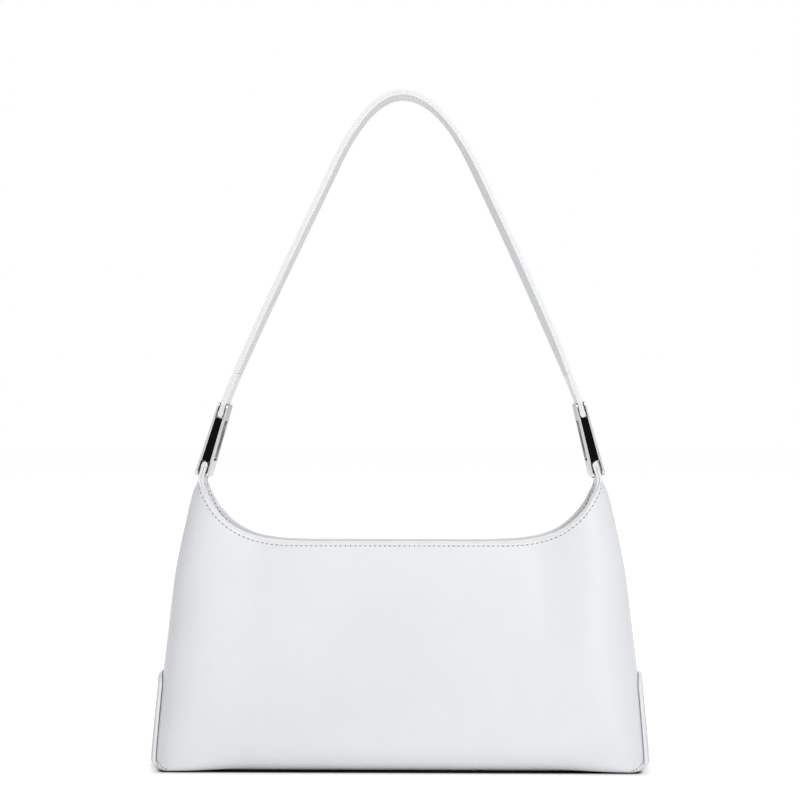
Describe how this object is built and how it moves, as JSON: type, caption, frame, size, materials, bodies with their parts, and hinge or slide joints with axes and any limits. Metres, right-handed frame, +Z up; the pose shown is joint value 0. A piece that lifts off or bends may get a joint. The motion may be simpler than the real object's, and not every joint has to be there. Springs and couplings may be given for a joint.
{
  "type": "shoulder bag",
  "caption": "Small structured leather shoulder bag with a scooped open top, a magnetic snap and a short arched handle held by flat metal links.",
  "frame": {"origin": "middle of the footprint, on the surface the bag stands on", "axes": "+X to the right seen from the front, +Y from the front panel to the back panel, +Z up towards the handle"},
  "size_m": [0.2898, 0.065, 0.3912],
  "materials": {
    "white_leather": "smooth white semi-gloss leather with painted edges",
    "facing_leather": "smooth white leather, less glossy",
    "grey_board": "grey stiffening board, out of sight",
    "lining_twill": "matt woven lining",
    "polished_metal": "polished silver plate",
    "plain_steel": "plain bright wire and sheet",
    "black_enamel": "glossy black enamel"
  },
  "bodies": {
    "bag": {"front_panel": "white_leather", "back_panel": "white_leather", "base_strip": "white_leather", "base_board": "grey_board", "front_facing": "facing_leather", "back_facing": "facing_leather", "front_stiffener": "grey_board", "back_stiffener": "grey_board", "lining_bag": "lining_twill", "slip_pocket": "lining_twill", "snap_socket": "polished_metal", "snap_stud": "polished_metal", "front_washer": "plain_steel", "back_washer": "plain_steel"},
    "tab_loops": {"tab_left": "white_leather", "tab_right": "white_leather", "tab_rod_left": "plain_steel", "tab_rod_right": "plain_steel"},
    "left_link": {"outer_cheek_left": "polished_metal", "inner_cheek_left": "polished_metal", "link_core_left": "black_enamel"},
    "right_link": {"outer_cheek_right": "polished_metal", "inner_cheek_right": "polished_metal", "link_core_right": "black_enamel"},
    "handle": {"strap_outer": "white_leather", "strap_inner": "facing_leather", "strap_core": "grey_board", "strap_rod_left": "plain_steel", "strap_rod_right": "plain_steel"}
  },
  "joints": [
    {"name": "handle_lean", "type": "hinge", "parent": "bag", "child": "tab_loops", "pos_m": [0, 0, 0.1585], "axis": [1, 0, 0], "range_deg": [-30, 30], "deforming": ["tab_left", "tab_right"]},
    {"name": "left_link_sway", "type": "hinge", "parent": "tab_loops", "child": "left_link", "pos_m": [-0.11305, 0, 0.1737], "axis": [0, 1, 0], "range_deg": [-5, 5]},
    {"name": "right_link_sway", "type": "hinge", "parent": "tab_loops", "child": "right_link", "pos_m": [0.11305, 0, 0.1737], "axis": [0, 1, 0], "range_deg": [-5, 5]},
    {"name": "handle_pivot", "type": "hinge", "parent": "left_link", "child": "handle", "pos_m": [-0.10455, 0, 0.2039], "axis": [0, 1, 0], "range_deg": [-5.41, 5.41]}
  ],
  "couplings": [
    {"joint": "right_link_sway", "follows": "left_link_sway", "ratio": 1},
    {"joint": "handle_pivot", "follows": "left_link_sway", "ratio": -1.0813}
  ]
}
